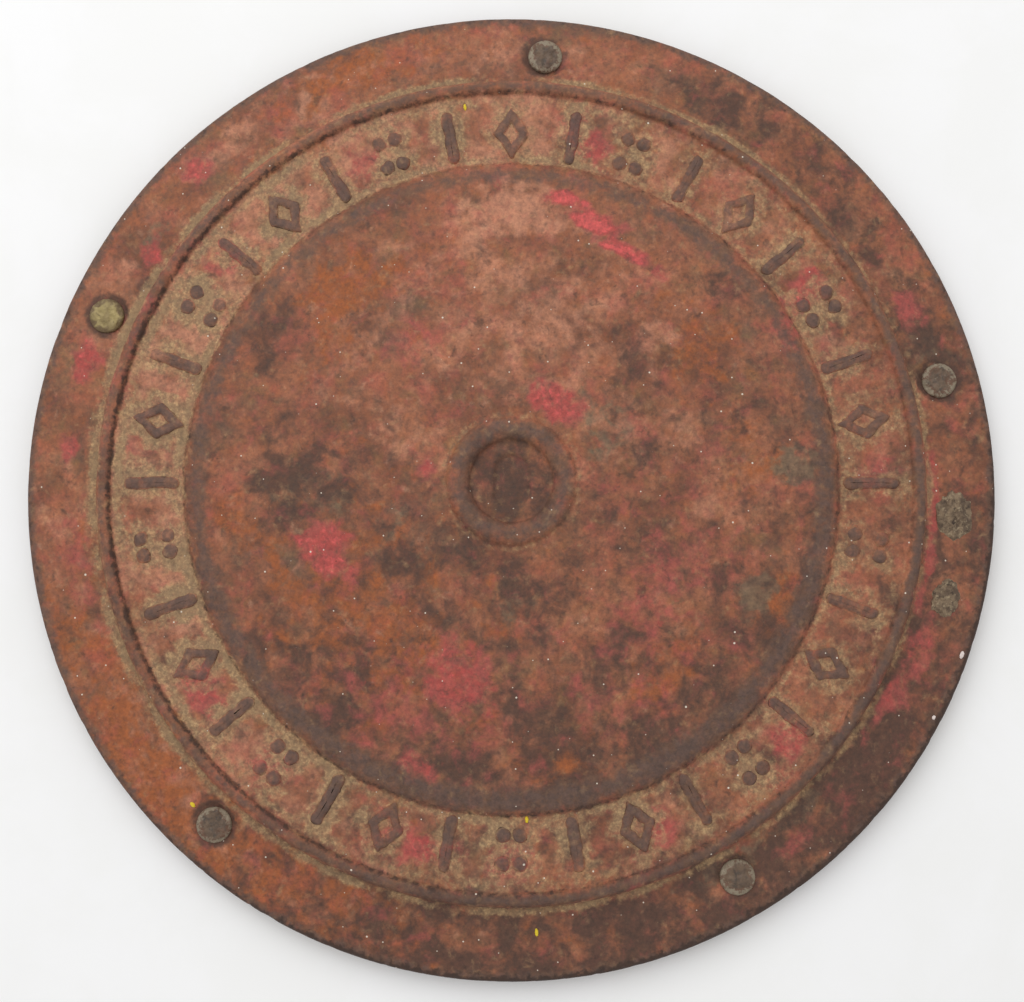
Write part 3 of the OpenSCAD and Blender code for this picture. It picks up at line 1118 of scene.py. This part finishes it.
def crust(turn, away, half_out, half_round, high, rings_across, seed):
    """A low uneven crust that has set on the cover at a bearing and a radius, its foot sunk in."""
    sine, cosine = math.sin(math.radians(turn)), math.cos(math.radians(turn))
    crust_rings = []
    for part in np.linspace(0, 1, rings_across):
        turns = np.arange(1 if part == 0 else 4 * rings_across) * 2 * math.pi
        turns = turns / (4 * rings_across)
        flat = [part * np.sin(turns), part * np.cos(turns), 0 * turns + part]
        crust_rings.append(np.column_stack(flat))
    crust_rings.append(np.array([[0.0, 0.0, 1.2]]))
    points, faces = skin(crust_rings)
    part = points[:, 2].copy()
    ragged = grain(np.column_stack([points[:, :2] * 6, 0 * part]), 3, 3, seed)
    size = 1 + 0.22 * ragged * part
    out = points[:, 1] * half_out * size
    along = points[:, 0] * half_round * size
    x = (away + out) * sine + along * cosine
    y = (away + out) * cosine - along * sine
    ground = np.interp(np.hypot(x, y), *profile[: outermost + 1].T)
    rough = grain(np.column_stack([x, y, 0 * x]), half_out / 3, 3, seed + 10)
    up = high * ease(1.02, 0.55, part) * (0.75 + 0.45 * rough)
    bottom = part > 1.1
    z = np.where(bottom, ground - 1.5, ground - 0.5 * ease(0.8, 1.0, part) + up)
    return np.column_stack([x, y, z]), faces


earth = set_earth()
LUMPS = [(94, 162, 7.6, 9.8, 2.2), (104.8, 163, 6.2, 7.6, 1.6)]
for index, lump_size in enumerate(LUMPS, start=1):
    points, faces = crust(*lump_size, 22, 40 + index)
    lump = make_piece(f"dirt_crust_{index}", points, faces, [])
    lump.data.materials.append(earth)

# ---------------------------------------------------------------- splashed paint
# Four drops of yellow paint and two chips of white, splashed on the cover and set hard. Each is 1.5 mm
# to 4 mm long and about half a millimetre thick.


def splashed_gloss(name, base, worn):
    """Gloss paint gone dull: a strong colour, chalky and dirty in its low places."""
    material, tree, place = start_material(name)
    colour = lay_coats(tree, place, linear(base), [(worn, None, 0.9, 0.50, 0.70, 0.7)])
    shader = add_node(
        tree,
        "ShaderNodeBsdfPrincipled",
        None,
        {"Base Color": colour, "Roughness": 0.5, "Normal": raise_grains(tree, place, [(0.8, 0.1)])},
    )
    add_node(tree, "ShaderNodeOutputMaterial", None, {"Surface": shader.outputs["BSDF"]})
    return material


# Each: its bearing and radius, its half-lengths out and round, and its height
YELLOW_DROPS = [
    (353.0, 141.4, 1.5, 0.7, 0.45),
    (177.4, 120.0, 1.4, 0.7, 0.45),
    (176.8, 160.0, 1.8, 0.7, 0.45),
    (224.7, 162.1, 0.8, 1.3, 0.45),
]
WHITE_CHIPS = [(110.8, 174.6, 0.9, 1.7, 0.4), (119.0, 174.2, 0.8, 0.9, 0.4)]
drop_points, drop_faces = joined([crust(*drop, 8, 60 + k) for k, drop in enumerate(YELLOW_DROPS)])
drops = make_piece("yellow_paint_drops", drop_points, drop_faces, [])
drops.data.materials.append(splashed_gloss("splashed_yellow_gloss_paint", "#d9bd1e", "#a8902c"))
chip_points, chip_faces = joined([crust(*chip, 8, 80 + k) for k, chip in enumerate(WHITE_CHIPS)])
chips = make_piece("white_paint_chips", chip_points, chip_faces, [])
chips.data.materials.append(splashed_gloss("splashed_white_gloss_paint", "#ddd0ca", "#b39a90"))

# ---------------------------------------------------------------- floor, light and camera
# The cover lies face up on a board painted matt white, in a pale room. A wide window high on its far
# left lights it. The camera looks almost straight down from just over half a metre.

# A painted board is a little uneven in colour, over about 60 mm
board_half = 3.0
board_below = 0.0002
white_board, tree, place = start_material("matt_white_board")
board = lay_coats(tree, place, linear("#f1f1f1"), [("#efefee", None, 60.0, 0.40, 0.60, 1.0)])
shader = add_node(
    tree, "ShaderNodeBsdfPrincipled", None, {"Base Color": board, "Roughness": 0.9}
)
add_node(tree, "ShaderNodeOutputMaterial", None, {"Surface": shader.outputs["BSDF"]})
floor_mesh = bpy.data.meshes.new("floor")
floor_corners = [(x * board_half, y * board_half, 0) for x, y in ((-1, -1), (1, -1), (1, 1), (-1, 1))]
floor_mesh.from_pydata(floor_corners, [], [(0, 1, 2, 3)])
floor = bpy.data.objects.new("floor", floor_mesh)
floor.location.z = -board_below
floor.data.materials.append(white_board)
bpy.context.scene.collection.objects.link(floor)

# The lens and its shift are given in the image's own units, 1024 across and 1002 high
image_w, image_h = 1024, 1002
focal_length, axis_x, axis_y = 1456, 511.4, 487.4
camera_tilt = math.radians(5.5)
camera_distance = 0.544
sensor_w = 36
camera = bpy.data.objects.new("camera", bpy.data.cameras.new("camera"))
bpy.context.scene.collection.objects.link(camera)
bpy.context.scene.camera = camera
camera.location.y = -camera_distance * math.sin(camera_tilt)
camera.location.z = camera_distance * math.cos(camera_tilt)
camera.rotation_euler.x = camera_tilt
camera.data.sensor_width = sensor_w
camera.data.lens = focal_length * sensor_w / image_w
camera.data.shift_x = (image_w / 2 - axis_x) / image_w
camera.data.shift_y = (axis_y - image_h / 2) / image_w

room_light = 0.72
world = bpy.data.worlds.new("pale_room")
bpy.context.scene.world = world
world.use_nodes = True
sky = world.node_tree.nodes["Background"]
sky.inputs["Color"].default_value = (1, 1, 1, 1)
sky.inputs["Strength"].default_value = room_light
window = bpy.data.objects.new("window", bpy.data.lights.new("window", "AREA"))
window.data.energy = 15.8
window.data.size = 1.6
window.location = (-0.42, 0.92, 1.4)
window.rotation_euler = (-window.location).to_track_quat("-Z", "Y").to_euler()
bpy.context.scene.collection.objects.link(window)
bpy.context.scene.view_settings.view_transform = "Standard"
